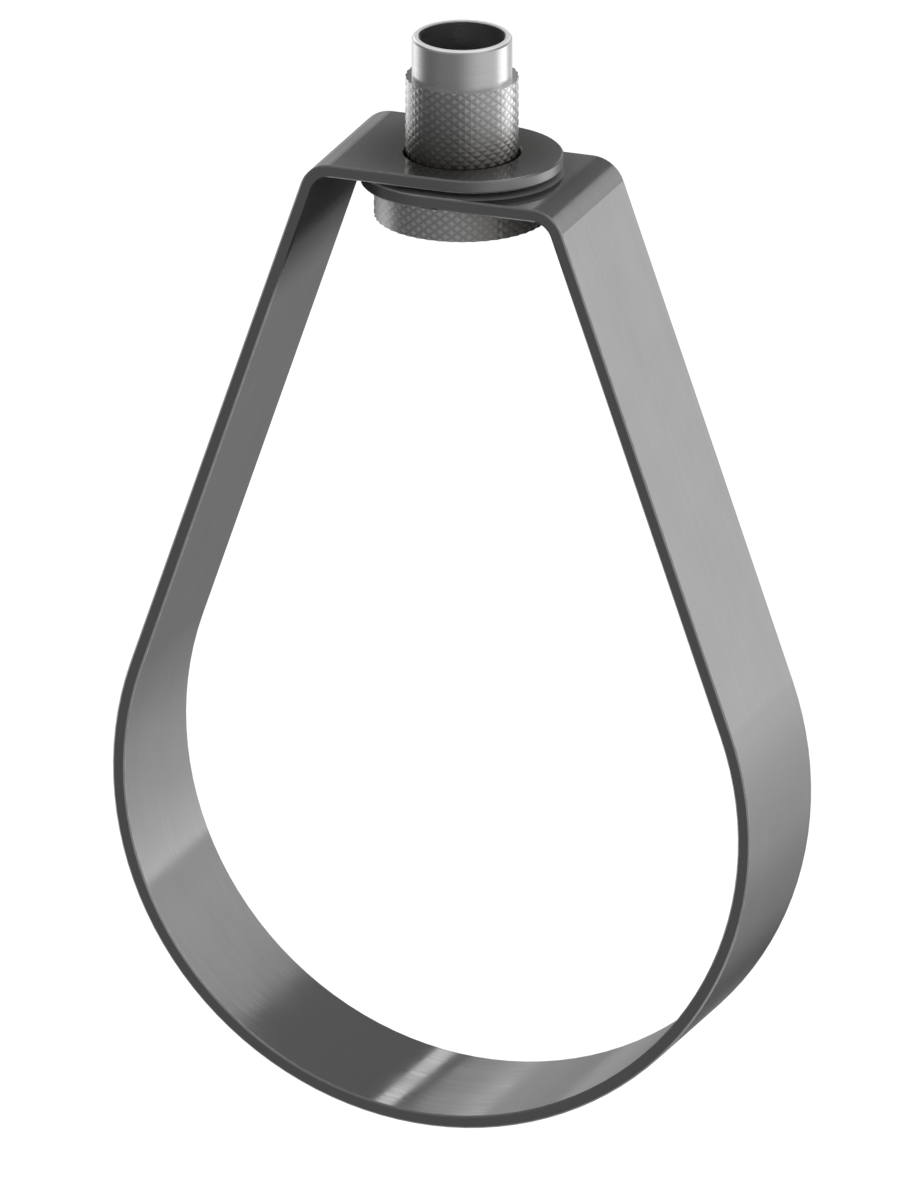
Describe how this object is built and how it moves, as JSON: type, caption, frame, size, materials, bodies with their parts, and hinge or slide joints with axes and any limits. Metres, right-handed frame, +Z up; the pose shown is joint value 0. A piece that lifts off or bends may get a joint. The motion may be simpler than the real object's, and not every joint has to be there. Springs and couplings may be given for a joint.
{
  "type": "swivel ring hanger",
  "caption": "Pear-shaped steel strip ring that hangs a pipe from a threaded rod and swivels around a flanged, knurled nut held in its lapped ends.",
  "frame": {"origin": "on the rod's axis, at the face of the nut's flange that carries the strip", "axes": "+Z points up the rod, +Y lies along the pipe, +X across the ring"},
  "size_m": [0.077, 0.02, 0.1275],
  "materials": {
    "strip_steel": "pre-galvanised strip, dull grey with a soft sheen",
    "turned_steel": "zinc-plated turned steel, brighter than the strip, diamond knurl on hub and flange"
  },
  "bodies": {
    "nut": {"swivel_nut": "turned_steel"},
    "ring": {"ring_band": "strip_steel"}
  },
  "joints": [
    {"name": "ring_swivel", "type": "hinge", "parent": "nut", "child": "ring", "pos_m": [0, 0, 0], "axis": [0, 0, 1], "continuous": true}
  ]
}
